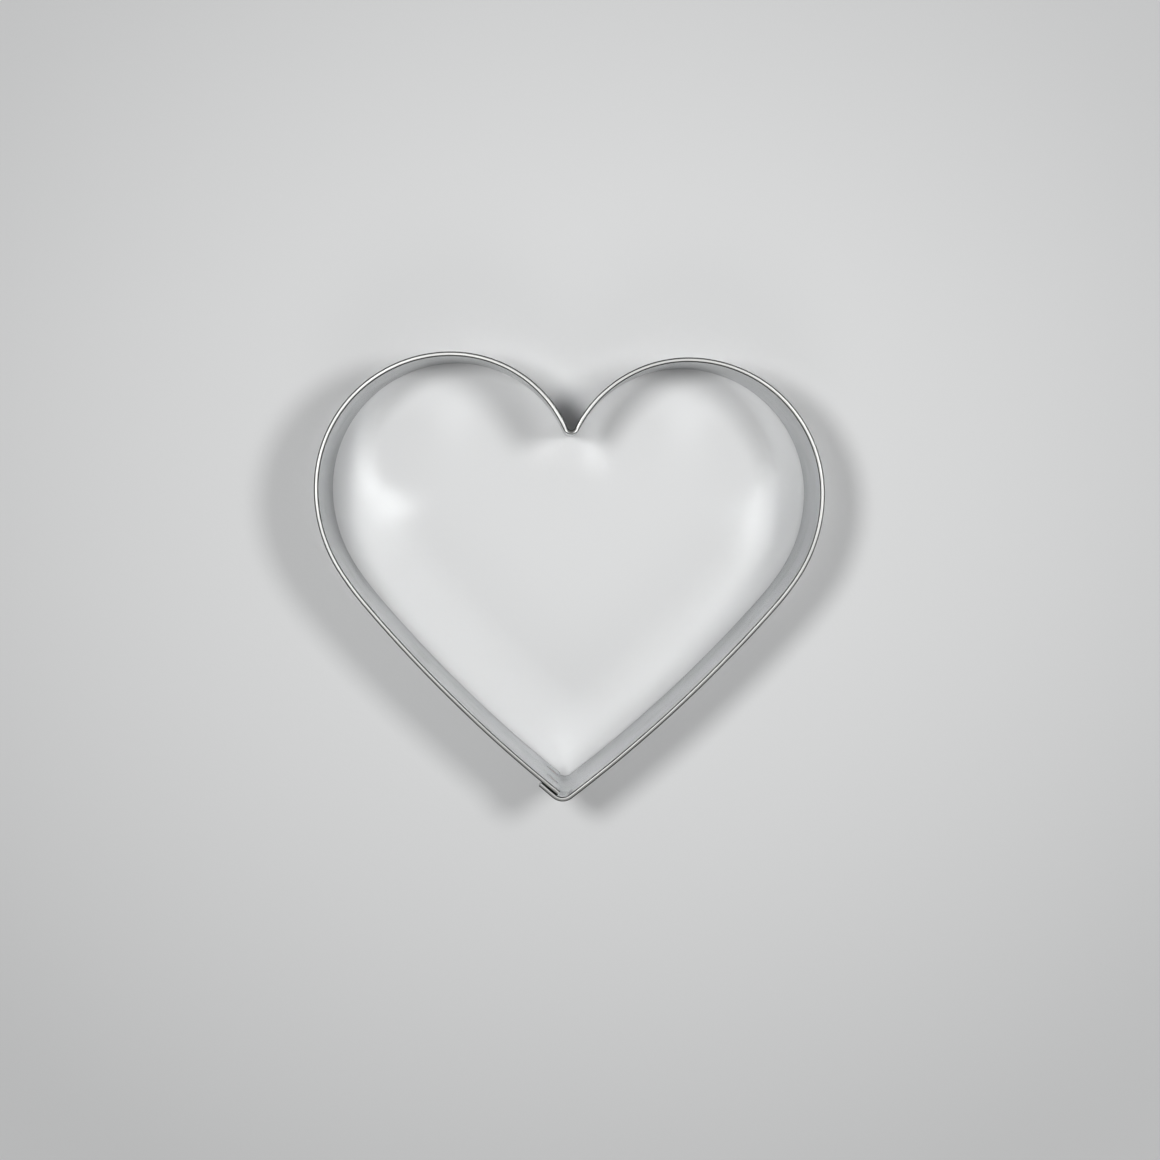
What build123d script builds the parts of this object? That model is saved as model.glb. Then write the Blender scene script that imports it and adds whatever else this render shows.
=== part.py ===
"""Heart-shaped cookie cutter: one hemmed sheet-metal strip, lapped and spot welded at the heart's tip.

Frame: X to the right, Y towards the two lobes, Z up. The origin is under the middle of the outline, on
the surface that the cutting edge rests on. Sizes are in millimetres and angles in degrees.

The outline is drawn as the hem's middle line, a chain of arcs that run into each other smoothly. Across
the strip, "out" is the distance from that line, positive towards the outside of the heart.
"""

from build123d import *
from dataclasses import dataclass
from math import asin, atan2, cos, degrees, radians, sin, sqrt
import os

# The cutter as a whole
cutter_width = 82.5
cutter_length = 72.4
cutter_depth = 22.0

# The strip and the hem folded over to its outside
strip_thickness = 0.33
fold_gap = 0.08
hem_height = 2.6

# The outline's bends, measured to the hem's middle line
notch_depth = 12.1
notch_bend_radius = 1.05
shoulder_radius = 21.75
flank_radius = 24.5
flank_turn_share = 0.747
waist_radius = 46.0
side_radius = 232.0
tip_bend_radius = 2.16

# The lap at the tip, where the right-hand end lies outside the left-hand one
lap_length = 3.0
lap_slack = 0.1
pressed_gap = 0.02
inner_end_reach = 0.25
press_drop = 0.3
press_slope_height = 1.6
corner_lead = 3.0

# The spot welds, at shares of the height over which the two ends are pressed together
weld_radius = 1.0
weld_fit = 0.03
weld_dish = 0.04
weld_height_shares = {"upper_spot_weld": 0.80, "lower_spot_weld": 0.30}

# Turns, in degrees
quarter_turn = 90
half_turn = 180
full_turn = 360

# What follows from the sizes above
hem_thickness = 2 * strip_thickness + fold_gap
wall_inner_out = -hem_thickness / 2
wall_outer_out = wall_inner_out + strip_thickness
fold_height = cutter_depth - hem_thickness / 2
flap_foot_height = cutter_depth - hem_height
press_top_height = flap_foot_height - press_drop
pressed_height = press_top_height - press_slope_height
lap_spacing = hem_thickness + lap_slack
pressed_spacing = strip_thickness + pressed_gap


def polar(radius: float, angle: float) -> Vector:
    """A step of this length at this angle from +X, in the plane of the outline."""
    return Vector(radius * cos(radians(angle)), radius * sin(radians(angle)))


def heading(start: Vector, end: Vector) -> float:
    """The angle from +X at which the end lies from the start, from 0 to 360."""
    step = end - start
    return degrees(atan2(step.Y, step.X)) % full_turn


def crossing(near: Vector, near_radius: float, far: Vector, far_radius: float) -> Vector:
    """Where two circles cross, on the left of the way from the first centre to the second."""
    span = (far - near).length
    along = (near_radius**2 - far_radius**2 + span**2) / (2 * span)
    aside = sqrt(near_radius**2 - along**2)
    way = heading(near, far)
    return near + polar(along, way) + polar(aside, way + quarter_turn)


def mirrored(point: Vector) -> Vector:
    """The same place on the other half of the heart."""
    return Vector(-point.X, point.Y)


@dataclass
class Bend:
    """One arc of the hem's middle line, turned counterclockwise from start to end.

    outside is 1 where the outside of the heart lies away from the centre, and -1 where it lies towards it.
    """

    centre: Vector
    radius: float
    start: float
    end: float
    outside: int = 1

    @property
    def turn(self) -> float:
        """How far the arc turns, never negative."""
        return (self.end - self.start) % full_turn

    @property
    def length(self) -> float:
        """The arc's length along the hem's middle line."""
        return self.radius * radians(self.turn)


def other_half(bend: Bend) -> Bend:
    """The same bend on the other half of the heart."""
    start = half_turn - bend.end
    end = half_turn - bend.start
    return Bend(mirrored(bend.centre), bend.radius, start, end, bend.outside)


# The centres of the right-hand bends, each tangent to the one before it
line_half_width = (cutter_width - hem_thickness) / 2
line_top = (cutter_length - hem_thickness) / 2
lobe_x = line_half_width - shoulder_radius
crown_radius = (notch_depth**2 + lobe_x**2) / (2 * notch_depth) - notch_bend_radius
notch_centre = Vector(0, line_top - notch_depth + notch_bend_radius)
crown_centre = Vector(lobe_x, line_top - crown_radius)
shoulder_centre = Vector(lobe_x, line_top - shoulder_radius)
tip_centre = Vector(0, tip_bend_radius - line_top)

# The flank makes most of the turn from the lobe's side to the straight line that touches shoulder and tip
side_span = (shoulder_centre - tip_centre).length
side_lean = degrees(asin((shoulder_radius - tip_bend_radius) / side_span))
side_turn = quarter_turn - heading(tip_centre, shoulder_centre) + side_lean
flank_turn = flank_turn_share * side_turn
flank_centre = shoulder_centre + Vector(shoulder_radius - flank_radius, 0)
waist_centre = flank_centre + polar(flank_radius - waist_radius, -flank_turn)

# The sides: the left one lies inside the tab by the lap's spacing
tab_radius = side_radius + lap_spacing
right_side_centre = crossing(
    tip_centre, side_radius - tip_bend_radius, waist_centre, side_radius - waist_radius
)
left_side_centre = mirrored(
    crossing(tip_centre, tab_radius - tip_bend_radius, waist_centre, side_radius - waist_radius)
)
right_waist_end = heading(right_side_centre, waist_centre)
left_waist_end = heading(left_side_centre, mirrored(waist_centre))
right_tip_start = heading(right_side_centre, tip_centre)
left_tip_start = heading(left_side_centre, tip_centre)
corner_cut = right_tip_start + degrees(corner_lead / side_radius)
inner_end = left_tip_start + degrees(inner_end_reach / side_radius)
tab_end = left_tip_start - degrees(lap_length / tab_radius)
notch_angle = heading(notch_centre, crown_centre)

# The bend of the tip's lower part, where the tab is pressed on to the inner end
pressed_tab_radius = side_radius + pressed_spacing
pressed_tip_centre = crossing(
    left_side_centre,
    pressed_tab_radius - tip_bend_radius,
    right_side_centre,
    side_radius - tip_bend_radius,
)

crown = Bend(crown_centre, crown_radius, quarter_turn, notch_angle - half_turn)
shoulder = Bend(shoulder_centre, shoulder_radius, 0, quarter_turn)
flank = Bend(flank_centre, flank_radius, -flank_turn, 0)
right_waist = Bend(waist_centre, waist_radius, right_waist_end, -flank_turn)
left_waist = Bend(mirrored(waist_centre), waist_radius, half_turn + flank_turn, left_waist_end)
full_height_bends = [
    Bend(left_side_centre, side_radius, left_waist_end, inner_end),
    left_waist,
    other_half(flank),
    other_half(shoulder),
    other_half(crown),
    Bend(notch_centre, notch_bend_radius, half_turn - notch_angle, notch_angle, -1),
    crown,
    shoulder,
    flank,
    right_waist,
    Bend(right_side_centre, side_radius, corner_cut, right_waist_end),
]
tip_hem_bends = [
    Bend(right_side_centre, side_radius, right_tip_start, corner_cut),
    Bend(tip_centre, tip_bend_radius, left_tip_start, right_tip_start),
    Bend(left_side_centre, tab_radius, tab_end, left_tip_start),
]


def turn_strip(bend: Bend, foot: float) -> None:
    """Adds one bend of the hemmed strip, from the foot's height up to the top."""
    fold_radius = hem_thickness / 2
    gap_radius = fold_gap / 2
    across = Vector(bend.outside, 0)
    middle = Vector(bend.radius, fold_height)
    crest = Vector(bend.radius, cutter_depth)
    wall_top = middle - across * fold_radius
    flap_top = middle + across * fold_radius
    gap_wall = middle - across * gap_radius
    gap_flap = middle + across * gap_radius
    drop = Vector(0, fold_height - foot)
    flap_drop = Vector(0, fold_height - flap_foot_height)
    section_plane = Plane(
        origin=bend.centre,
        x_dir=polar(1, bend.start),
        z_dir=polar(1, bend.start - quarter_turn),
    )
    with BuildSketch(section_plane) as section:
        with BuildLine():
            Line(wall_top - drop, wall_top)
            ThreePointArc(wall_top, crest, flap_top)
            Line(flap_top, flap_top - flap_drop)
            Line(flap_top - flap_drop, gap_flap - flap_drop)
            Line(gap_flap - flap_drop, gap_flap)
            ThreePointArc(gap_flap, middle + Vector(0, gap_radius), gap_wall)
            Line(gap_wall, gap_wall - drop)
            Line(gap_wall - drop, wall_top - drop)
        make_face()
    revolve(section.sketch, axis=Axis(bend.centre, (0, 0, 1)), revolution_arc=bend.turn)


def tip_wall_plan(height: float, bend_centre: Vector, end_radius: float) -> Sketch:
    """The wall's plan round the tip at one height, from the corner cut to the tab's end."""
    side_turn = heading(right_side_centre, bend_centre)
    tab_turn = heading(left_side_centre, bend_centre)
    with BuildSketch(Plane.XY.offset(height)) as plan:
        with BuildLine():
            for out in (wall_inner_out, wall_outer_out):
                CenterArc(right_side_centre, side_radius + out, corner_cut, side_turn - corner_cut)
                CenterArc(bend_centre, tip_bend_radius + out, side_turn, tab_turn - side_turn)
                CenterArc(left_side_centre, end_radius + out, tab_turn, tab_end - tab_turn)
            for centre, radius, angle in (
                (right_side_centre, side_radius, corner_cut),
                (left_side_centre, end_radius, tab_end),
            ):
                Line(
                    centre + polar(radius + wall_inner_out, angle),
                    centre + polar(radius + wall_outer_out, angle),
                )
        make_face()
    return plan.sketch


# Where the welds go: half way along the lap, square to the two walls
weld_angle = (inner_end + tab_end) / 2
weld_out = polar(1, weld_angle)
weld_inner_radius = side_radius + wall_inner_out
weld_stack = pressed_spacing + strip_thickness
welds = {
    name: Plane(
        origin=left_side_centre
        + polar(weld_inner_radius + weld_stack / 2, weld_angle)
        + Vector(0, 0, pressed_height * share),
        x_dir=(0, 0, 1),
        z_dir=weld_out,
    )
    for name, share in weld_height_shares.items()
}

# The strip: its bends at full height, the hem round the tip, and the wall under that hem, which slopes
# in below the flap and is then pressed flat on to the inner end
with BuildPart() as heart_band:
    for bend in full_height_bends:
        turn_strip(bend, 0)
    for bend in tip_hem_bends:
        turn_strip(bend, press_top_height)
    slope_top = tip_wall_plan(press_top_height, tip_centre, tab_radius)
    slope_foot = tip_wall_plan(pressed_height, pressed_tip_centre, pressed_tab_radius)
    loft([slope_top, slope_foot], ruled=True)
    extrude(slope_foot, amount=-pressed_height)
    for seat in welds.values():
        with BuildSketch(seat):
            Circle(weld_radius + weld_fit)
        extrude(amount=weld_stack, both=True, mode=Mode.SUBTRACT)

strip_length = sum(bend.length for bend in full_height_bends + tip_hem_bends)
print(f"strip length along the hem's middle line: {strip_length:.1f} mm")
print(f"crown radius: {crown_radius:.2f} mm")

os.makedirs("parts", exist_ok=True)
heart_band.part.label = "heart_band"
export_step(heart_band.part, "parts/heart_band.step")

# The weld nuggets, a little below both faces of the lap
for name, seat in welds.items():
    with BuildPart() as nugget:
        with BuildSketch(seat):
            Circle(weld_radius)
        extrude(amount=weld_stack / 2 - weld_dish, both=True)
    nugget.part.label = name
    export_step(nugget.part, f"parts/{name}.step")
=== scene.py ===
"""Blender scene of a heart-shaped cookie cutter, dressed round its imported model.

The cutter is one strip of bright steel with a hem folded over its top edge. It is bent to a heart, its
two ends lap at the heart's tip, and two spot welds hold the lap. Everything is in metres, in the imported
model's frame: X to the right, Y towards the two lobes, Z up from the cutting edge. Headings are in
radians from +X.

Across the strip, "out" is the distance from the hem's middle line, positive towards the outside of the
heart. Along the strip, a place is the distance from the inner end, walked clockwise round the heart to
the tab's end.
"""

import logging
from dataclasses import dataclass, field
from enum import Enum
from functools import cached_property
from math import asin, atan2, ceil, cos, exp, pi, radians, sin, sqrt, tau

import bmesh
import bpy
from bmesh.types import BMEdge, BMesh, BMVert
from mathutils import Euler, Matrix, Vector, noise


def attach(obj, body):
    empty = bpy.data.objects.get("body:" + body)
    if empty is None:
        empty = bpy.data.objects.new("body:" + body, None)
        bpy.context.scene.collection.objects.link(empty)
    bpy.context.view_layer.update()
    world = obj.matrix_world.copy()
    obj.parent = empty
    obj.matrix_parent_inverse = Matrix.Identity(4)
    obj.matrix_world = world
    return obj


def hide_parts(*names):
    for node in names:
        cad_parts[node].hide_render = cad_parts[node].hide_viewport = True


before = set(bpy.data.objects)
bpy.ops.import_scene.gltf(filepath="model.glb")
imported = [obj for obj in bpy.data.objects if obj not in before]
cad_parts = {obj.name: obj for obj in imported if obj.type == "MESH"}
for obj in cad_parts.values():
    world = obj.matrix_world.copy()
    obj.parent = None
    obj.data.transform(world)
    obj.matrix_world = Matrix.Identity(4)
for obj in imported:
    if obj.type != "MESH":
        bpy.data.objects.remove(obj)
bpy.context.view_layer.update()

log = logging.getLogger("cookie_cutter")

# The strip's UV map, the body that every piece rides on, and the bend number of a vertex that is done
STRIP_MAP = "strip"
BODY = "root"
LABELLED = -1

# The Mix node's sockets by number, since several share a name: the factor, and the two that are mixed
FLOAT_MIX_SOCKETS = (0, 2, 3)
COLOUR_MIX_SOCKETS = (0, 6, 7)
COLOUR_MIX_RESULT = 2

MM_PER_METRE = 1000

Colour = tuple[float, float, float, float]
Triple = tuple[float, float, float]
Span = tuple[float, float]


def polar(radius: float, way: float) -> Vector:
    """A step of this length at this heading, in the plan."""
    return Vector((radius * cos(way), radius * sin(way), 0.0))


def heading(start: Vector, end: Vector) -> float:
    """The heading at which the end lies from the start, from 0 to a full turn."""
    step = end - start
    return atan2(step.y, step.x) % tau


def crossing(near: Vector, near_radius: float, far: Vector, far_radius: float) -> Vector:
    """Where two circles cross, on the left of the way from the first centre to the second.

    Args:
        near: The first circle's centre.
        near_radius: The first circle's radius.
        far: The second circle's centre.
        far_radius: The second circle's radius.

    Returns:
        The crossing, in the plan.
    """
    span = (far - near).length
    along = (near_radius**2 - far_radius**2 + span**2) / (2 * span)
    aside = sqrt(near_radius**2 - along**2)
    way = heading(near, far)
    return near + polar(along, way) + polar(aside, way + pi / 2)


def mirrored(point: Vector) -> Vector:
    """The same place on the other half of the heart."""
    return Vector((-point.x, point.y, point.z))


def eased(value: float, start: float, end: float) -> float:
    """Rises smoothly from 0 at the start to 1 at the end, and stays there."""
    share = min(max((value - start) / (end - start), 0.0), 1.0)
    return share * share * (3 - 2 * share)


@dataclass(frozen=True)
class Bend:
    """One arc of the hem's middle line.

    Attributes:
        centre: The arc's centre in the plan.
        radius: From the centre to the middle line.
        start: Heading of the arc's counterclockwise start, from the centre.
        end: Heading of its counterclockwise end.
        outside: 1 where the outside of the heart lies away from the centre, -1 where it lies towards it.
    """

    centre: Vector
    radius: float
    start: float
    end: float
    outside: int = 1

    @property
    def turn(self) -> float:
        """How far the arc turns, never negative."""
        return (self.end - self.start) % tau

    @property
    def length(self) -> float:
        """The arc's length."""
        return self.radius * self.turn

    @property
    def walk_start(self) -> float:
        """Heading at which the clockwise walk round the heart enters the arc."""
        return self.end if self.outside > 0 else self.start

    @property
    def walk_turn(self) -> float:
        """The turn that the walk makes, negative where it is clockwise."""
        return -self.outside * self.turn

    def other_half(self) -> "Bend":
        """The same bend on the other half of the heart."""
        return Bend(mirrored(self.centre), self.radius, pi - self.end, pi - self.start, self.outside)


@dataclass
class HeartOutline:
    """The heart that the strip is bent to: a chain of arcs that run into each other smoothly."""

    width: float = 0.0825
    length: float = 0.0724
    hem_thickness: float = 0.00074
    sheet_thickness: float = 0.00033
    notch_depth: float = 0.0121
    notch_radius: float = 0.00105
    shoulder_radius: float = 0.02175
    flank_radius: float = 0.0245
    flank_turn_share: float = 0.747
    waist_radius: float = 0.046
    side_radius: float = 0.232
    tip_radius: float = 0.00216
    lap_length: float = 0.003
    lap_slack: float = 0.0001
    pressed_gap: float = 0.00002
    inner_end_reach: float = 0.00025
    corner_lead: float = 0.003

    def __post_init__(self) -> None:
        """Works out the centres of the bends, each tangent to the one before it."""
        half_width = (self.width - self.hem_thickness) / 2
        top = (self.length - self.hem_thickness) / 2
        lobe = half_width - self.shoulder_radius
        self.crown_radius = (self.notch_depth**2 + lobe**2) / (2 * self.notch_depth) - self.notch_radius
        self.notch_centre = Vector((0, top - self.notch_depth + self.notch_radius, 0))
        self.crown_centre = Vector((lobe, top - self.crown_radius, 0))
        self.shoulder_centre = Vector((lobe, top - self.shoulder_radius, 0))
        self.tip_centre = Vector((0, self.tip_radius - top, 0))
        side_span = (self.shoulder_centre - self.tip_centre).length
        side_lean = asin((self.shoulder_radius - self.tip_radius) / side_span)
        side_turn = pi / 2 - heading(self.tip_centre, self.shoulder_centre) + side_lean
        self.flank_turn = self.flank_turn_share * side_turn
        flank_step = Vector((self.shoulder_radius - self.flank_radius, 0, 0))
        waist_step = polar(self.flank_radius - self.waist_radius, -self.flank_turn)
        self.flank_centre = self.shoulder_centre + flank_step
        self.waist_centre = self.flank_centre + waist_step
        self.lap_spacing = self.hem_thickness + self.lap_slack
        self.pressed_spacing = self.sheet_thickness + self.pressed_gap
        self.tab_radius = self.side_radius + self.lap_spacing
        waist_reach = self.side_radius - self.waist_radius
        side_reach = self.side_radius - self.tip_radius
        tab_reach = self.tab_radius - self.tip_radius
        self.right_centre = crossing(self.tip_centre, side_reach, self.waist_centre, waist_reach)
        self.left_centre = mirrored(crossing(self.tip_centre, tab_reach, self.waist_centre, waist_reach))
        self.right_tip = heading(self.right_centre, self.tip_centre)
        self.left_tip = heading(self.left_centre, self.tip_centre)
        self.corner_cut = self.right_tip + self.corner_lead / self.side_radius
        self.inner_end = self.left_tip + self.inner_end_reach / self.side_radius
        self.tab_end = self.left_tip - self.lap_length / self.tab_radius

    @cached_property
    def press_shift(self) -> Vector:
        """How far the tip's bend moves where the tab's wall is pressed on to the inner end."""
        pressed_reach = self.side_radius + self.pressed_spacing - self.tip_radius
        side_reach = self.side_radius - self.tip_radius
        return crossing(self.left_centre, pressed_reach, self.right_centre, side_reach) - self.tip_centre

    @cached_property
    def bends(self) -> list[Bend]:
        """The bends in the order of the walk, from the inner end to the tab's end."""
        notch_way = heading(self.notch_centre, self.crown_centre)
        crown = Bend(self.crown_centre, self.crown_radius, pi / 2, notch_way - pi)
        shoulder = Bend(self.shoulder_centre, self.shoulder_radius, 0, pi / 2)
        flank = Bend(self.flank_centre, self.flank_radius, -self.flank_turn, 0)
        left_waist_centre = mirrored(self.waist_centre)
        left_waist = heading(self.left_centre, left_waist_centre)
        right_waist = heading(self.right_centre, self.waist_centre)
        return [
            Bend(self.left_centre, self.side_radius, left_waist, self.inner_end),
            Bend(left_waist_centre, self.waist_radius, pi + self.flank_turn, left_waist),
            flank.other_half(),
            shoulder.other_half(),
            crown.other_half(),
            Bend(self.notch_centre, self.notch_radius, pi - notch_way, notch_way, -1),
            crown,
            shoulder,
            flank,
            Bend(self.waist_centre, self.waist_radius, right_waist, -self.flank_turn),
            Bend(self.right_centre, self.side_radius, self.right_tip, right_waist),
            Bend(self.tip_centre, self.tip_radius, self.left_tip, self.right_tip),
            Bend(self.left_centre, self.tab_radius, self.tab_end, self.left_tip),
        ]

    @cached_property
    def strip_length(self) -> float:
        """Length of the strip along the hem's middle line."""
        return sum(bend.length for bend in self.bends)

    @cached_property
    def notch_place(self) -> float:
        """Place of the cleft's deepest point along the strip."""
        notch = next(number for number, bend in enumerate(self.bends) if bend.outside < 0)
        return sum(bend.length for bend in self.bends[:notch]) + self.bends[notch].length / 2


class Pen:
    """Draws a line of edges in the XZ plane of a mesh, where X is out and Z is up."""

    def __init__(self, mesh: BMesh, out: float, height: float) -> None:
        """Puts the pen down.

        Args:
            mesh: The mesh to draw in.
            out: Where the line starts, along X.
            height: Where it starts, along Z.
        """
        self.mesh = mesh
        self.path: list[BMVert] = bmesh.ops.create_vert(mesh, co=(out, 0, height))["vert"]

    def line(self, out: float, height: float, pieces: int = 1) -> None:
        """Draws straight to a point.

        Args:
            out: Where the point lies along X.
            height: Where it lies along Z.
            pieces: How many equal edges the line has.
        """
        step = (Vector((out, 0, height)) - self.path[-1].co) / pieces
        for _ in range(pieces):
            self.path += bmesh.ops.extrude_vert_indiv(self.mesh, verts=self.path[-1:])["verts"]
            self.path[-1].co += step

    def arc(self, out: float, height: float, turn: float, pieces: int) -> None:
        """Turns round a centre.

        Args:
            out: Where the centre lies along X.
            height: Where it lies along Z.
            turn: The turn, from +Z towards +X where it is positive.
            pieces: How many equal edges the arc has.
        """
        for _ in range(pieces):
            made = bmesh.ops.spin(
                self.mesh,
                geom=self.path[-1:],
                cent=(out, 0, height),
                axis=(0, 1, 0),
                angle=turn / pieces,
                steps=1,
            )
            self.path += [item for item in made["geom_last"] if isinstance(item, BMVert)]

    def close(self) -> None:
        """Joins the line's end to its start."""
        self.mesh.edges.new((self.path[-1], self.path[0]))


def finish_mesh(mesh: BMesh, name: str, sharp_angle: float) -> bpy.types.Object:
    """Turns a bmesh into an object whose faces point outwards.

    Args:
        mesh: The bmesh, which is freed.
        name: The object's name.
        sharp_angle: Faces that meet at more than this get a sharp edge.

    Returns:
        The object, linked to the scene.
    """
    bmesh.ops.recalc_face_normals(mesh, faces=mesh.faces)
    for face in mesh.faces:
        face.smooth = True
    for edge in mesh.edges:
        edge.smooth = edge.calc_face_angle(0.0) < sharp_angle
    data = bpy.data.meshes.new(name)
    mesh.to_mesh(data)
    mesh.free()
    piece = bpy.data.objects.new(name, data)
    bpy.context.scene.collection.objects.link(piece)
    return piece


class WeldPlace(Enum):
    """The two spot welds, by the names of their nodes."""

    UPPER = "upper_spot_weld"
    LOWER = "lower_spot_weld"


@dataclass
class SpotWeld:
    """One spot weld: a nugget through the lap, with a dished electrode mark on both faces."""

    place: WeldPlace
    centre: Vector
    axis: Vector
    stack: float
    radius: float = 0.001
    seat_fit: float = 0.00003
    mark_radius: float = 0.00125
    ridge_radius: float = 0.00098
    ridge_height: float = 0.000012
    rest_gap: float = 0.000004
    dish_depth: float = 0.00003
    ring_height: float = 0.0000015
    ring_spacing: float = 0.00014
    flat_share: float = 0.35
    profile_steps: int = 36
    round_steps: int = 72
    cutter_overrun: float = 0.001
    sharp_angle: float = radians(35)

    @property
    def turned(self) -> Matrix:
        """Moves a mesh modelled round the Z axis to the weld's place."""
        return Matrix.Translation(self.centre) @ self.axis.to_track_quat("Z", "Y").to_matrix().to_4x4()

    def mark_height(self, radius: float) -> float:
        """Height of the electrode mark over the strip's face.

        Args:
            radius: Distance from the weld's middle.

        Returns:
            The height, negative in the dish.
        """
        if radius > self.ridge_radius:
            share = (self.mark_radius - radius) / (self.mark_radius - self.ridge_radius)
            return self.rest_gap + self.ridge_height * eased(share, 0.0, 1.0)
        dish = eased(radius, self.flat_share * self.radius, self.ridge_radius)
        rings = self.ring_height * sin(tau * radius / self.ring_spacing) * (1 - dish)
        return (self.rest_gap + self.ridge_height) * dish - self.dish_depth * (1 - dish) + rings

    def build(self) -> bpy.types.Object:
        """Spins the nugget's profile round its axis.

        Returns:
            The nugget, in place.
        """
        mesh = bmesh.new()
        half = self.stack / 2
        radii = [self.mark_radius * step / self.profile_steps for step in range(self.profile_steps + 1)]
        pen = Pen(mesh, 0.0, half + self.mark_height(0.0))
        for radius in radii[1:]:
            pen.line(radius, half + self.mark_height(radius))
        pen.line(self.radius, half + self.rest_gap)
        pen.line(self.radius, -half - self.rest_gap)
        for radius in reversed(radii):
            pen.line(radius, -half - self.mark_height(radius))
        bmesh.ops.spin(
            mesh,
            geom=list(mesh.verts) + list(mesh.edges),
            cent=(0, 0, 0),
            axis=(0, 0, 1),
            angle=tau,
            steps=self.round_steps,
            use_merge=True,
        )
        bmesh.ops.remove_doubles(mesh, verts=mesh.verts, dist=self.ring_height)
        bmesh.ops.transform(mesh, matrix=self.turned, verts=mesh.verts)
        return finish_mesh(mesh, self.place.value + "_mark", self.sharp_angle)

    def build_cutter(self) -> bpy.types.Object:
        """Makes the round tool that cuts the weld's seat.

        Returns:
            The tool, with its place in its mesh.
        """
        mesh = bmesh.new()
        bmesh.ops.create_cone(
            mesh,
            cap_ends=True,
            segments=self.round_steps,
            radius1=self.radius + self.seat_fit,
            radius2=self.radius + self.seat_fit,
            depth=self.stack + self.cutter_overrun,
            matrix=self.turned,
        )
        return finish_mesh(mesh, self.place.value + "_cutter", self.sharp_angle)


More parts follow.
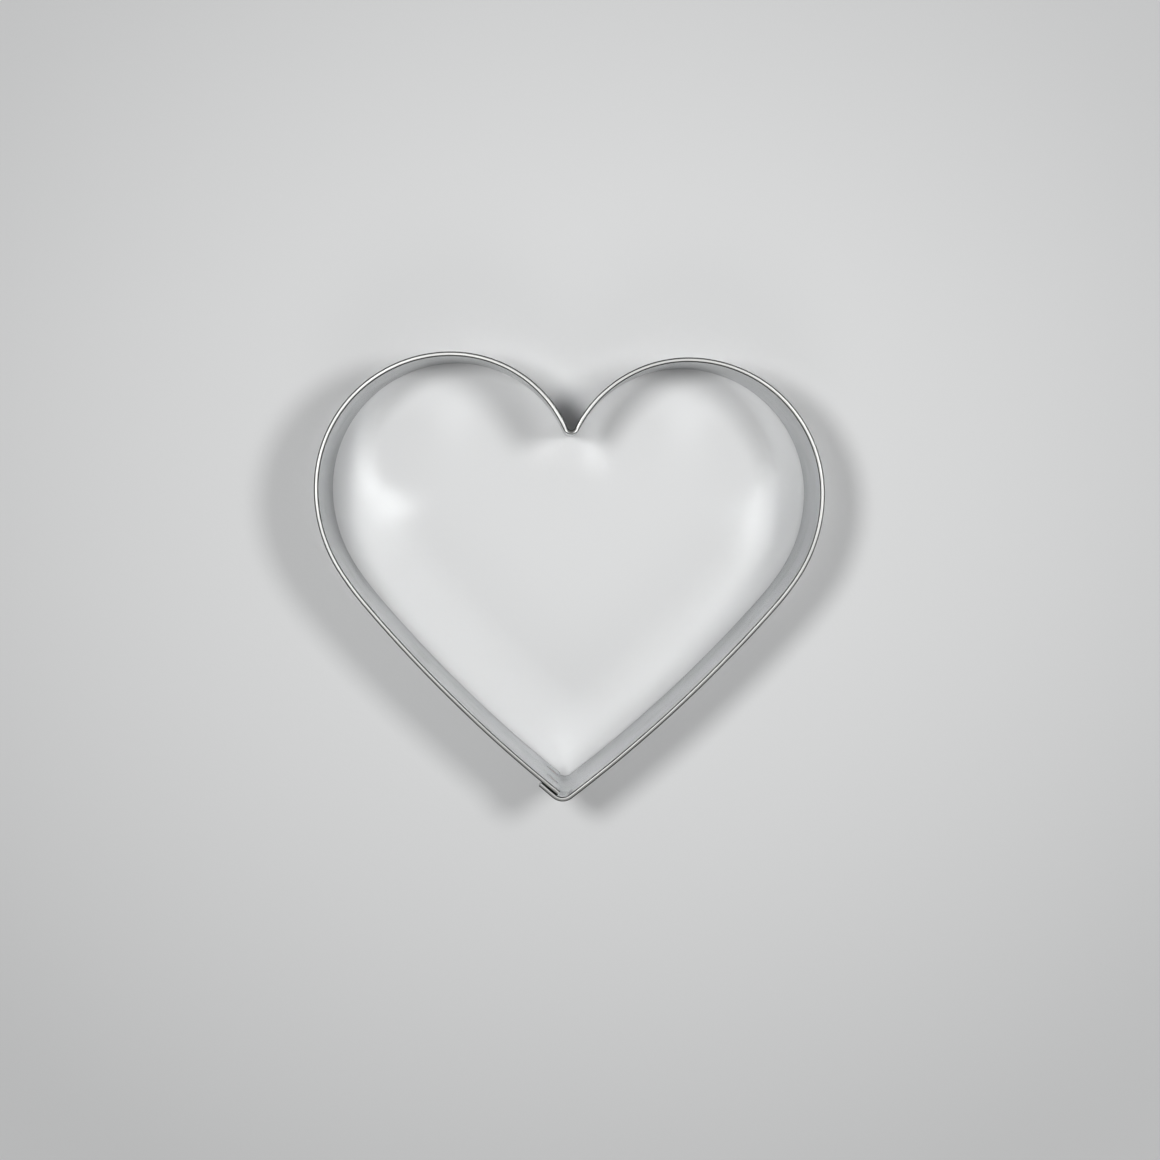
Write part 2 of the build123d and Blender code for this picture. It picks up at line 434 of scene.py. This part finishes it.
@dataclass
class HeartBand:
    """The strip: its hemmed section, carried round the heart's bends, and what forming has done to it.

    A row is a distance round the section, from the middle of the cutting edge up the inner face.

    Attributes:
        girth: Length of the whole way round the section.
        crest_row: Row of the hem's crest.
        crease_row: Row of the wall's outer face at the flap's foot.
    """

    outline: HeartOutline
    depth: float = 0.022
    fold_gap: float = 0.00008
    hem_height: float = 0.0026
    shear_radius: float = 0.00005
    press_drop: float = 0.0003
    press_slope_height: float = 0.0016
    longest_step: float = 0.001
    widest_turn: float = radians(2.5)
    crest_corner: float = 0.00022
    crest_lean: float = radians(12)
    corner_pieces: int = 8
    crown_pieces: int = 8
    shear_pieces: int = 3
    gap_pieces: int = 6
    wall_rows: tuple[int, int, int] = (18, 8, 7)
    flap_rows: int = 7
    corner_rows: int = 2
    sharp_angle: float = radians(20)
    tab_draw: float = 0.00006
    ripple: float = 0.000016
    ripple_length: float = 0.014
    ripple_height: float = 0.02
    crest_ripple: float = 0.000010
    crest_ripple_length: float = 0.006
    crest_noise_layer: float = 7.0
    quiet_end: float = 0.014
    pinch_length: float = 0.0013
    pinch_drop: float = 0.00010
    pinch_lean: float = 0.42
    girth: float = field(init=False, default=0.0)
    crest_row: float = field(init=False, default=0.0)
    crease_row: float = field(init=False, default=0.0)

    @property
    def fold_radius(self) -> float:
        """Radius of the fold's half round, to its outside."""
        return self.outline.hem_thickness / 2

    @property
    def fold_height(self) -> float:
        """Height of the fold's centre."""
        return self.depth - self.fold_radius

    @property
    def flap_foot(self) -> float:
        """Height of the flap's lower edge."""
        return self.depth - self.hem_height

    @property
    def press_top(self) -> float:
        """Height below which the tab's wall slopes in."""
        return self.flap_foot - self.press_drop

    @property
    def pressed_top(self) -> float:
        """Height below which the two ends lie on each other."""
        return self.press_top - self.press_slope_height

    def draw_wall(self, pen: Pen, out: float, upwards: bool) -> None:
        """Draws one face of the wall, with rows close enough for its slopes.

        Args:
            pen: The pen, at one end of the face.
            out: Where the face lies.
            upwards: Whether the pen goes up.
        """
        heights = [self.shear_radius, self.pressed_top, self.press_top, self.fold_height]
        if upwards:
            legs = zip(heights[1:], self.wall_rows)
        else:
            legs = zip(heights[-2::-1], reversed(self.wall_rows))
        for height, rows in legs:
            pen.line(out, height, rows)

    def draw_crest(self, pen: Pen) -> None:
        """Draws the top of the hem, pressed by the rollers to a low crown between two rounder corners.

        Args:
            pen: The pen, on the wall's inner face.
        """
        corner, lean, half = self.crest_corner, self.crest_lean, self.fold_radius
        crown = corner + (half - corner) / sin(lean)
        corner_height = self.depth - corner * cos(lean) - crown * (1 - cos(lean))
        pen.line(-half, corner_height, self.corner_rows)
        pen.arc(corner - half, corner_height, pi / 2 - lean, self.corner_pieces)
        pen.arc(0.0, self.depth - crown, 2 * lean, self.crown_pieces)
        pen.arc(half - corner, corner_height, pi / 2 - lean, self.corner_pieces)
        pen.line(half, self.fold_height, self.corner_rows)

    def draw_section(self, mesh: BMesh) -> list[BMVert]:
        """Draws the strip's section as a closed line in the XZ plane.

        Args:
            mesh: The mesh to draw in.

        Returns:
            The line's vertices, from the middle of the cutting edge up the inner face and round.
        """
        fold, gap, shear = self.fold_radius, self.fold_gap / 2, self.shear_radius
        quarter = pi / 2
        pen = Pen(mesh, -(fold + gap) / 2, 0.0)
        pen.line(-fold + shear, 0.0)
        pen.arc(-fold + shear, shear, quarter, self.shear_pieces)
        self.draw_wall(pen, -fold, upwards=True)
        self.draw_crest(pen)
        pen.line(fold, self.flap_foot + shear, self.flap_rows)
        pen.arc(fold - shear, self.flap_foot + shear, quarter, self.shear_pieces)
        pen.line(gap + shear, self.flap_foot)
        pen.arc(gap + shear, self.flap_foot + shear, quarter, self.shear_pieces)
        pen.line(gap, self.fold_height, self.flap_rows)
        pen.arc(0.0, self.fold_height, -pi, self.gap_pieces)
        self.draw_wall(pen, -gap, upwards=False)
        pen.arc(-gap - shear, shear, quarter, self.shear_pieces)
        pen.close()
        return pen.path

    def label_section(self, mesh: BMesh, path: list[BMVert]) -> None:
        """Writes each vertex's row, and moves the section to the strip's inner end.

        Args:
            mesh: The mesh that the section is drawn in.
            path: The section's vertices, from the middle of the cutting edge round.
        """
        across = mesh.verts.layers.float["across"]
        outward = mesh.verts.layers.float_vector["outward"]
        self.girth = 0.0
        for before, vertex in zip([path[0], *path], path):
            self.girth += (vertex.co - before.co).length
            vertex[across] = self.girth
            if vertex.co.z > self.depth - self.shear_radius and vertex.co.x <= 0:
                self.crest_row = self.girth
            if vertex.co.z > self.press_top - self.shear_radius:
                self.crease_row = self.girth - self.press_drop
        self.girth += (path[-1].co - path[0].co).length
        first = self.outline.bends[0]
        start = first.centre + polar(first.radius, first.walk_start)
        placing = Matrix.Translation(start) @ Matrix.Rotation(first.walk_start, 4, "Z")
        bmesh.ops.transform(mesh, matrix=placing, verts=path)
        for vertex in path:
            vertex[outward] = polar(1.0, first.walk_start)

    def label_bend(self, mesh: BMesh, number: int, bend: Bend, place: float) -> None:
        """Writes the place along the strip, and the way out of it, on the vertices of one bend.

        Args:
            mesh: The strip so far.
            number: The bend's number in the walk, which its vertices have been copied with.
            bend: The bend.
            place: Place along the strip at which the bend starts.
        """
        along = mesh.verts.layers.float["along"]
        outward = mesh.verts.layers.float_vector["outward"]
        bend_number = mesh.verts.layers.int["bend_number"]
        for vertex in mesh.verts:
            if vertex[bend_number] == number:
                way = heading(bend.centre, vertex.co)
                turned = (way - bend.walk_start + pi) % tau - pi
                vertex[along] = place + bend.length * turned / bend.walk_turn
                vertex[outward] = polar(bend.outside, way)
                vertex[bend_number] = LABELLED

    def sweep(self, mesh: BMesh) -> None:
        """Carries the section along the outline, bend by bend, and fills the strip's two ends.

        Args:
            mesh: The mesh that holds the section at the strip's inner end.
        """
        section: list[BMVert | BMEdge] = list(mesh.verts) + list(mesh.edges)
        inner_end = list(mesh.edges)
        bend_number = mesh.verts.layers.int["bend_number"]
        place = 0.0
        for number, bend in enumerate(self.outline.bends):
            made = bmesh.ops.spin(
                mesh,
                geom=section,
                cent=bend.centre,
                axis=(0, 0, 1),
                angle=bend.walk_turn,
                steps=ceil(max(bend.length / self.longest_step, bend.turn / self.widest_turn)),
            )
            self.label_bend(mesh, number, bend, place)
            section = made["geom_last"]
            for item in section:
                if isinstance(item, BMVert):
                    item[bend_number] = number + 1
            place += bend.length
        tab_end = [item for item in section if isinstance(item, BMEdge)]
        caps = bmesh.ops.contextual_create(mesh, geom=inner_end)["faces"]
        caps += bmesh.ops.contextual_create(mesh, geom=tab_end)["faces"]
        bmesh.ops.triangulate(mesh, faces=caps, ngon_method="EAR_CLIP")

    def press_tip(self, mesh: BMesh) -> None:
        """Slopes the tip's wall in below the hem, so that the tab lies on the inner end.

        Args:
            mesh: The strip so far.
        """
        along = mesh.verts.layers.float["along"]
        outward = mesh.verts.layers.float_vector["outward"]
        outline = self.outline
        tip_bend, tab = outline.bends[-2:]
        tip_start = outline.strip_length - tab.length - tip_bend.length
        tab_start = outline.strip_length - tab.length
        for vertex in mesh.verts:
            lead = eased(vertex[along], tip_start - outline.corner_lead, tip_start)
            low = 1 - eased(vertex.co.z, self.pressed_top, self.press_top)
            draw = eased(vertex[along], tab_start, outline.strip_length)
            vertex.co += outline.press_shift * (lead * low)
            vertex.co -= vertex[outward] * (self.tab_draw * draw * (1 - low))

    def pinch_cleft(self, mesh: BMesh) -> None:
        """Crushes the hem a little in the cleft, and leans its crest out, where the bend is far tighter.

        Args:
            mesh: The strip so far.
        """
        along = mesh.verts.layers.float["along"]
        across = mesh.verts.layers.float["across"]
        for vertex in mesh.verts:
            off = (vertex[along] - self.outline.notch_place) / self.pinch_length
            high = eased(vertex.co.z, self.flap_foot, self.depth)
            out = min(max(vertex[across] - self.crest_row + self.fold_radius, 0.0), 2 * self.fold_radius)
            vertex.co.z -= (self.pinch_drop + self.pinch_lean * out) * exp(-off * off) * high

    def form_by_hand(self, mesh: BMesh) -> None:
        """Gives the wall and the crest the slight waves that bending the strip round its former leaves.

        Args:
            mesh: The strip so far.
        """
        along = mesh.verts.layers.float["along"]
        outward = mesh.verts.layers.float_vector["outward"]
        length = self.outline.strip_length
        for vertex in mesh.verts:
            place, height = vertex[along], vertex.co.z
            free = eased(place, 0.0, self.quiet_end) * (1 - eased(place, length - self.quiet_end, length))
            wave = noise.noise(Vector((place / self.ripple_length, height / self.ripple_height, 0.0)))
            vertex.co += vertex[outward] * (self.ripple * wave * free)
            rise = noise.noise(Vector((place / self.crest_ripple_length, 0.0, self.crest_noise_layer)))
            vertex.co.z += self.crest_ripple * rise * eased(height, self.flap_foot, self.depth) * free

    def lay_out(self, mesh: BMesh) -> None:
        """Unrolls the strip into its own UV map, in metres, with the seam in the cutting edge.

        Args:
            mesh: The strip so far.
        """
        along = mesh.verts.layers.float["along"]
        across = mesh.verts.layers.float["across"]
        unrolled = mesh.loops.layers.uv.new(STRIP_MAP)
        for face in mesh.faces:
            rows = [corner.vert[across] for corner in face.loops]
            crosses_seam = max(rows) - min(rows) > self.girth / 2
            for corner, row in zip(face.loops, rows):
                wrap = self.girth if crosses_seam and row < self.girth / 2 else 0.0
                corner[unrolled].uv = (corner.vert[along], row + wrap)

    def cut_seats(self, band: bpy.types.Object, welds: list[SpotWeld]) -> bpy.types.Object:
        """Cuts the welds' seats through the lap.

        Args:
            band: The strip.
            welds: The spot welds.

        Returns:
            The strip with its seats, which takes the given one's place.
        """
        for weld in welds:
            cutter = weld.build_cutter()
            seat = band.modifiers.new(weld.place.value, "BOOLEAN")
            seat.operation = "DIFFERENCE"
            seat.solver = "EXACT"
            seat.object = cutter
        graph = bpy.context.evaluated_depsgraph_get()
        band_with_seats = bpy.data.meshes.new_from_object(band.evaluated_get(graph), depsgraph=graph)
        for seat in band.modifiers:
            bpy.data.objects.remove(seat.object)
        bpy.data.objects.remove(band)
        mesh = bmesh.new()
        mesh.from_mesh(band_with_seats)
        return finish_mesh(mesh, "hemmed_heart_strip", self.sharp_angle)

    def build(self, welds: list[SpotWeld]) -> bpy.types.Object:
        """Builds the strip.

        Args:
            welds: The spot welds whose seats it gets.

        Returns:
            The strip as one piece.
        """
        mesh = bmesh.new()
        mesh.verts.layers.float.new("across")
        mesh.verts.layers.float.new("along")
        mesh.verts.layers.int.new("bend_number")
        mesh.verts.layers.float_vector.new("outward")
        self.label_section(mesh, self.draw_section(mesh))
        self.sweep(mesh)
        self.lay_out(mesh)
        self.press_tip(mesh)
        self.form_by_hand(mesh)
        self.pinch_cleft(mesh)
        return self.cut_seats(finish_mesh(mesh, "uncut_strip", self.sharp_angle), welds)


@dataclass
class WeldedLap:
    """Where the two ends of the strip lie on each other, and the two welds that join them."""

    outline: HeartOutline
    pressed_height: float
    upper_share: float = 0.80
    lower_share: float = 0.30

    def welds(self) -> list[SpotWeld]:
        """Places the two spot welds half way along the lap and square to it.

        Returns:
            The upper weld and the lower one.
        """
        outline = self.outline
        way = (outline.inner_end + outline.tab_end) / 2
        stack = outline.pressed_spacing + outline.sheet_thickness
        inner_face = outline.side_radius - outline.hem_thickness / 2
        middle = outline.left_centre + polar(inner_face + stack / 2, way)
        shares = {WeldPlace.UPPER: self.upper_share, WeldPlace.LOWER: self.lower_share}
        return [
            SpotWeld(place, middle + Vector((0, 0, share * self.pressed_height)), polar(1.0, way), stack)
            for place, share in shares.items()
        ]


Feed = bpy.types.NodeSocket | float | tuple[float, ...]


class Recipe:
    """A node tree, built one node at a time round its main shader."""

    def __init__(self, owner: bpy.types.Material | bpy.types.World, shader: str = "Principled BSDF") -> None:
        """Starts the owner's nodes.

        Args:
            owner: A new material or world.
            shader: Name of the shader that Blender has put in it.
        """
        owner.use_nodes = True
        self.owner = owner
        self.tree = owner.node_tree
        self.shader = self.tree.nodes[shader]

    def feed(self, node: bpy.types.Node, feeds: dict[str | int, Feed]) -> None:
        """Joins other nodes to a node's sockets, or sets the sockets' own values.

        Args:
            node: The node.
            feeds: What goes into its sockets, by name or number.
        """
        for name, value in feeds.items():
            if isinstance(value, bpy.types.NodeSocket):
                self.tree.links.new(value, node.inputs[name])
            else:
                node.inputs[name].default_value = value

    def node(
        self, kind: str, feeds: dict[str | int, Feed] | None = None, **settings: object
    ) -> bpy.types.Node:
        """Adds a node.

        Args:
            kind: The node's kind, without its ShaderNode in front.
            feeds: What goes into its sockets, by name or number.
            **settings: The node's other settings.

        Returns:
            The node.
        """
        made = self.tree.nodes.new("ShaderNode" + kind)
        for name, value in settings.items():
            setattr(made, name, value)
        self.feed(made, feeds or {})
        return made

    def sum_up(self, operation: str, *values: Feed) -> bpy.types.NodeSocket:
        """A number worked out from others by one of the Math node's operations."""
        return self.node("Math", dict(enumerate(values)), operation=operation).outputs[0]

    def apart(self, value: Feed, mark: float) -> bpy.types.NodeSocket:
        """How far a number is from a given one, on either side."""
        return self.sum_up("ABSOLUTE", self.sum_up("SUBTRACT", value, mark))

    def distance(self, place: Feed, centre: Vector) -> bpy.types.NodeSocket:
        """How far a place is from a given one."""
        feeds = {0: place, 1: tuple(centre)}
        return self.node("VectorMath", feeds, operation="DISTANCE").outputs["Value"]

    def ramp(self, value: Feed, start: float, end: float, low: float, high: float) -> bpy.types.NodeSocket:
        """Goes smoothly from low to high as the value goes from start to end."""
        feeds = {"Value": value, "From Min": start, "From Max": end, "To Min": low, "To Max": high}
        return self.node("MapRange", feeds, interpolation_type="SMOOTHSTEP").outputs["Result"]

    def mix(self, factor: Feed, first: Feed, second: Feed) -> bpy.types.NodeSocket:
        """A colour between two."""
        feeds = dict(zip(COLOUR_MIX_SOCKETS, (factor, first, second)))
        return self.node("Mix", feeds, data_type="RGBA").outputs[COLOUR_MIX_RESULT]

    def tinge(
        self, colour: Feed, other: Colour, value: Feed, reach: Span, share: float = 1.0
    ) -> bpy.types.NodeSocket:
        """Mixes another colour in as a value goes through its reach.

        Args:
            colour: The colour so far.
            other: The one that is mixed in.
            value: What decides how much of it there is.
            reach: The values at which it starts and at which there is most of it.
            share: How much of it there is at most.

        Returns:
            The colour with the other one in it.
        """
        return self.mix(self.ramp(value, *reach, 0.0, share), colour, other)

    def seen(self) -> bpy.types.NodeSocket:
        """1 for what the camera sees, itself or in metal, and 0 for light that falls on a surface."""
        rays = self.node("LightPath").outputs
        return self.sum_up("MAXIMUM", rays["Is Camera Ray"], rays["Is Glossy Ray"])

    def grain(
        self, vector: Feed, cell: Triple, detail: float = 3.0, layer: float = 0.0
    ) -> bpy.types.NodeSocket:
        """Noise whose spots have a given size.

        Args:
            vector: Where the noise is read.
            cell: The spots' size along each axis, in metres.
            detail: How many finer layers it has.
            layer: Shifts the pattern, so that two of them differ.

        Returns:
            The noise, around a half.
        """
        scale = tuple(1 / size for size in cell)
        placing = {"Vector": vector, "Scale": scale, "Location": (layer, layer, layer)}
        where = self.node("Mapping", placing).outputs[0]
        made = self.node("TexNoise", {"Vector": where, "Scale": 1.0, "Detail": detail})
        return made.outputs["Fac"]

    def relief(self, height: Feed, depth: float) -> bpy.types.NodeSocket:
        """Normals for a relief as deep as given, in metres."""
        return self.node("Bump", {"Height": height, "Distance": depth, "Strength": 1.0}).outputs["Normal"]


@dataclass(frozen=True)
class RolledSteel:
    """Bright rolled sheet: streaks along the strip, faint smudges, darker edges, tint round the welds.

    A reach is the pair of values at which something starts and at which there is most of it, and a share
    is how much of it there is then. The reaches of the fold, the crown and the crease are distances from
    them round the section, the foot's is the row itself, and the tint's is the distance from a weld. The
    fold, the crown, the foot and the crease are painted shade: dark lines at the hem's rounded corners that
    stand in for dark reflections, a darker crown that dims the crest's highlight, contact shade with a
    little grime along the cutting edge, and the flap's shadow, with a little grime, below its crease.
    """

    pale: Colour = (0.464, 0.472, 0.487, 1.0)
    dull: Colour = (0.430, 0.438, 0.452, 1.0)
    greenish: Colour = (0.436, 0.454, 0.448, 1.0)
    # painted shade: a dark colour put where shade or dark reflections darken the steel
    painted_shade: Colour = (0.060, 0.061, 0.059, 1.0)
    # painted shade: a darker crown that dims the crest's highlight
    crown_shade: Colour = (0.280, 0.282, 0.275, 1.0)
    blued: Colour = (0.27, 0.285, 0.31, 1.0)
    roughness: float = 0.18
    fold_roughness: float = 0.20
    streak_roughness: float = 0.04
    smudge_roughness: float = 0.06
    streak: Triple = (0.014, 0.00012, 1.0)
    fine_streak: Triple = (0.004, 0.00004, 1.0)
    fine_detail: float = 2.0
    fine_layer: float = 3.0
    smudge: Triple = (0.009, 0.006, 1.0)
    smudge_layer: float = 5.0
    bump_depth: float = 0.0000012
    colour_reach: Span = (0.35, 0.65)
    streak_rough_reach: Span = (0.3, 0.7)
    smudge_rough_reach: Span = (0.45, 0.75)
    # painted shade at the hem's rounded corners, in place of their dark reflections
    fold_shade_reach: Span = (0.00062, 0.00050)
    # painted shade on the crown, which dims the crest's highlight
    crown_shade_reach: Span = (0.00027, 0.00015)
    # painted contact shade, with a little grime, along the foot of the wall
    foot_shade_reach: Span = (0.0013, 0.0004)
    # painted shadow of the flap on the wall below its crease, with a little grime
    crease_shade_reach: Span = (0.00070, 0.00015)
    tint_reach: Span = (0.0040, 0.0012)
    dull_share: float = 0.6
    green_share: float = 0.7
    # how strong the painted contact shade at the foot and the painted shadow below the crease are
    foot_shade_share: float = 0.2
    crease_shade_share: float = 0.5
    tint_share: float = 0.65

    def mixed_for(self, welds: list[SpotWeld], band: HeartBand) -> bpy.types.Material:
        """The strip's finish.

        Args:
            welds: The spot welds, each of which has tinted the steel round it.
            band: The strip, which knows where its crest and its crease lie when it is unrolled.

        Returns:
            The material.
        """
        recipe = Recipe(bpy.data.materials.new("rolled_steel"))
        unrolled = recipe.node("UVMap", uv_map=STRIP_MAP).outputs["UV"]
        streaks = recipe.grain(unrolled, self.streak)
        fine = recipe.grain(unrolled, self.fine_streak, self.fine_detail, self.fine_layer)
        smudges = recipe.grain(unrolled, self.smudge, layer=self.smudge_layer)
        colour = recipe.tinge(self.pale, self.dull, streaks, self.colour_reach, self.dull_share)
        colour = recipe.tinge(colour, self.greenish, smudges, self.colour_reach, self.green_share)
        row = recipe.node("SeparateXYZ", {"Vector": unrolled}).outputs["Y"]
        from_crest = recipe.apart(row, band.crest_row)
        # painted shade: darkens the hem's rounded corners beside the crest, in place of their dark
        # reflections
        folded = recipe.ramp(from_crest, *self.fold_shade_reach, 0.0, 1.0)
        colour = recipe.mix(folded, colour, self.painted_shade)
        # painted shade: a darker crown that dims the crest's highlight
        colour = recipe.tinge(colour, self.crown_shade, from_crest, self.crown_shade_reach)
        # painted contact shade, with a little grime, along the foot of the wall at the cutting edge
        colour = recipe.tinge(colour, self.painted_shade, row, self.foot_shade_reach, self.foot_shade_share)
        # painted shadow of the flap on the wall just below its crease, with a little grime
        from_crease = recipe.apart(row, band.crease_row)
        colour = recipe.tinge(colour, self.painted_shade, from_crease, self.crease_shade_reach, self.crease_shade_share)
        place = recipe.node("TexCoord").outputs["Object"]
        for weld in welds:
            gap = recipe.distance(place, weld.centre)
            colour = recipe.tinge(colour, self.blued, gap, self.tint_reach, self.tint_share)
        streak_rough = self.roughness + self.streak_roughness
        rough = recipe.ramp(streaks, *self.streak_rough_reach, self.roughness, streak_rough)
        smudge_rough = recipe.ramp(smudges, *self.smudge_rough_reach, 0.0, self.smudge_roughness)
        rough = recipe.sum_up("ADD", rough, smudge_rough)
        rough = recipe.sum_up("MULTIPLY_ADD", folded, self.fold_roughness, rough)
        normal = recipe.relief(recipe.sum_up("ADD", streaks, fine), self.bump_depth)
        feeds = {"Metallic": 1.0, "Base Color": colour, "Roughness": rough, "Normal": normal}
        recipe.feed(recipe.shader, feeds)
        return recipe.owner


@dataclass(frozen=True)
class WeldSteel:
    """The electrode mark: greyer, rougher steel with a straw and a blue ring of heat tint.

    The reaches of the two rings are shares of the weld's radius.
    """

    bright: Colour = (0.50, 0.495, 0.485, 1.0)
    straw: Colour = (0.44, 0.415, 0.37, 1.0)
    blued: Colour = (0.38, 0.39, 0.42, 1.0)
    roughness: Span = (0.30, 0.5)
    rough_reach: Span = (0.3, 0.7)
    grain: Triple = (0.0002, 0.0002, 0.0002)
    straw_reach: Span = (0.45, 0.8)
    blued_reach: Span = (0.85, 1.1)
    blued_share: float = 0.8
    wander_share: float = 0.25

    def mixed_for(self, weld: SpotWeld) -> bpy.types.Material:
        """The finish of one weld.

        Args:
            weld: The weld, round whose middle the rings lie.

        Returns:
            The material.
        """
        recipe = Recipe(bpy.data.materials.new("weld_steel_" + weld.place.name.lower()))
        place = recipe.node("TexCoord").outputs["Object"]
        gap = recipe.distance(place, weld.centre)
        pits = recipe.grain(place, self.grain)
        wander = recipe.sum_up("MULTIPLY_ADD", pits, weld.radius * self.wander_share, gap)
        straw_start, straw_end = (weld.radius * share for share in self.straw_reach)
        blued_start, blued_end = (weld.radius * share for share in self.blued_reach)
        colour = recipe.tinge(self.bright, self.straw, wander, (straw_start, straw_end))
        colour = recipe.tinge(colour, self.blued, wander, (blued_start, blued_end), self.blued_share)
        rough = recipe.ramp(pits, *self.rough_reach, *self.roughness)
        recipe.feed(recipe.shader, {"Metallic": 1.0, "Base Color": colour, "Roughness": rough})
        return recipe.owner


@dataclass(frozen=True)
class PalePaper:
    """The plain pale sheet that the cutter stands on.

    Beyond far_start it shines by itself to the eye, so that it stays as pale where the lamps don't reach.
    """

    colour: Colour = (0.655, 0.66, 0.662, 1.0)
    roughness: float = 0.9
    specular: float = 0.2
    tooth: Triple = (0.0006, 0.0006, 0.0006)
    tooth_depth: float = 0.00001
    far_start: float = 0.12
    far_end: float = 0.22

    def mixed(self) -> bpy.types.Material:
        """The sheet's finish.

        Returns:
            The material.
        """
        recipe = Recipe(bpy.data.materials.new("pale_paper"))
        place = recipe.node("TexCoord").outputs["Object"]
        normal = recipe.relief(recipe.grain(place, self.tooth), self.tooth_depth)
        feeds = {"Base Color": self.colour, "Roughness": self.roughness, "Normal": normal}
        recipe.feed(recipe.shader, feeds | {"Specular IOR Level": self.specular})
        reach = recipe.node("VectorMath", {0: place}, operation="LENGTH").outputs["Value"]
        far = recipe.ramp(reach, self.far_start, self.far_end, 0.0, 1.0)
        share = recipe.sum_up("MULTIPLY", far, recipe.seen())
        glow = recipe.node("Emission", {"Color": self.colour, "Strength": 1.0}).outputs[0]
        blend = recipe.node("MixShader", {0: share, 1: recipe.shader.outputs[0], 2: glow})
        recipe.feed(recipe.tree.nodes["Material Output"], {"Surface": blend.outputs[0]})
        recipe.owner.cycles.emission_sampling = "NONE"
        return recipe.owner


@dataclass(frozen=True)
class SoftLamp:
    """One round lamp with a soft front, close over the cutter."""

    name: str
    place: Triple
    width: float
    power: float
    spread: float = radians(137)

    def hang(self, aim: Vector) -> None:
        """Hangs the lamp.

        Args:
            aim: What it faces.
        """
        lamp = bpy.data.lights.new(self.name, "AREA")
        lamp.shape = "DISK"
        lamp.spread = self.spread
        lamp.size = self.width
        lamp.energy = self.power
        holder = bpy.data.objects.new(self.name, lamp)
        holder.location = self.place
        holder.rotation_euler = (aim - Vector(self.place)).to_track_quat("-Z", "Y").to_euler()
        bpy.context.scene.collection.objects.link(holder)


@dataclass
class Studio:
    """The floor, the soft light and the camera over the cutter.

    The sky's rises are heights on a sphere of radius 1 round the viewer, from its level part up.
    """

    floor_size: float = 1.6
    floor_pieces: int = 8
    floor_angle: float = radians(30)
    sky_colour: Colour = (1.0, 1.0, 1.0, 1.0)
    sky_rise: Span = (0.1, 0.9)
    sky_level: Span = (0.03, 0.24)
    haze_rise: Span = (0.10, 0.50)
    haze_level: float = 0.66
    lamps: tuple[SoftLamp, ...] = (
        SoftLamp("left_lamp", place=(-0.0787, 0.0406, 0.30), width=0.058, power=0.262),
        SoftLamp("right_lamp", place=(0.1136, 0.0477, 0.30), width=0.065, power=0.227),
        SoftLamp("front_lamp", place=(0.0, -0.42, 0.48), width=0.30, power=0.172),
    )
    aim: Triple = (0.010, 0.012, 0.0)
    lens: float = 64.115
    sensor: float = 36.0
    nearest: float = 0.01
    camera_place: Triple = (-0.0025, 0.01677, 0.35543)
    camera_turn: Triple = (radians(-2.909), radians(-0.703), radians(1.396))

    def lay_floor(self) -> None:
        """Lays the sheet that the cutter stands on."""
        mesh = bmesh.new()
        pieces = self.floor_pieces
        bmesh.ops.create_grid(mesh, x_segments=pieces, y_segments=pieces, size=self.floor_size / 2)
        floor = finish_mesh(mesh, "floor", self.floor_angle)
        floor.data.materials.append(PalePaper().mixed())

    def light(self) -> None:
        """Hangs the lamps, and sets the light from all round.

        Glossy light isn't blurred, because the steel throws sharp pale bands on the floor.
        """
        for lamp in self.lamps:
            lamp.hang(Vector(self.aim))
        bpy.context.scene.cycles.blur_glossy = 0.0
        bpy.context.scene.world = self.graded_sky()

    def graded_sky(self) -> bpy.types.World:
        """The light from all round: strongest overhead, weak along the floor, and pale there to the eye.

        Returns:
            The world that gives it.
        """
        recipe = Recipe(bpy.data.worlds.new("studio"), "Background")
        way = recipe.node("TexCoord").outputs["Generated"]
        rise = recipe.node("SeparateXYZ", {"Vector": way}).outputs["Z"]
        level = recipe.ramp(rise, *self.sky_rise, *self.sky_level)
        haze = recipe.sum_up("MULTIPLY", recipe.ramp(rise, *self.haze_rise, 1.0, 0.0), recipe.seen())
        mixed = dict(zip(FLOAT_MIX_SOCKETS, (haze, level, self.haze_level)))
        strength = recipe.node("Mix", mixed).outputs[0]
        recipe.feed(recipe.shader, {"Color": self.sky_colour, "Strength": strength})
        return recipe.owner

    def set_camera(self) -> None:
        """Puts the camera nearly straight above the cutter."""
        camera = bpy.data.cameras.new("overhead_camera")
        camera.lens = self.lens
        camera.sensor_width = self.sensor
        camera.clip_start = self.nearest
        holder = bpy.data.objects.new("overhead_camera", camera)
        holder.location = self.camera_place
        holder.rotation_euler = Euler(self.camera_turn)
        bpy.context.scene.collection.objects.link(holder)
        bpy.context.scene.camera = holder


def dress(piece: bpy.types.Object, material: bpy.types.Material, node: str) -> None:
    """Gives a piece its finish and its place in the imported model.

    Args:
        piece: The piece.
        material: Its finish.
        node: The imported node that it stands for.
    """
    piece.data.materials.clear()
    piece.data.materials.append(material)
    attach(piece, BODY)
    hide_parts(node)
    log.info("%s: %d faces, stands for %s", piece.name, len(piece.data.polygons), node)


def main() -> None:
    """Builds the cutter and its studio."""
    logging.basicConfig(level=logging.INFO, format="%(name)s: %(message)s")
    bpy.context.scene.view_settings.view_transform = "Standard"
    outline = HeartOutline()
    band = HeartBand(outline)
    welds = WeldedLap(outline, band.pressed_top).welds()
    log.info("strip length %.1f mm", outline.strip_length * MM_PER_METRE)
    strip = band.build(welds)
    dress(strip, RolledSteel().mixed_for(welds, band), "heart_band")
    for weld in welds:
        dress(weld.build(), WeldSteel().mixed_for(weld), weld.place.value)
    studio = Studio()
    studio.lay_floor()
    studio.light()
    studio.set_camera()


if __name__ == "__main__":
    main()
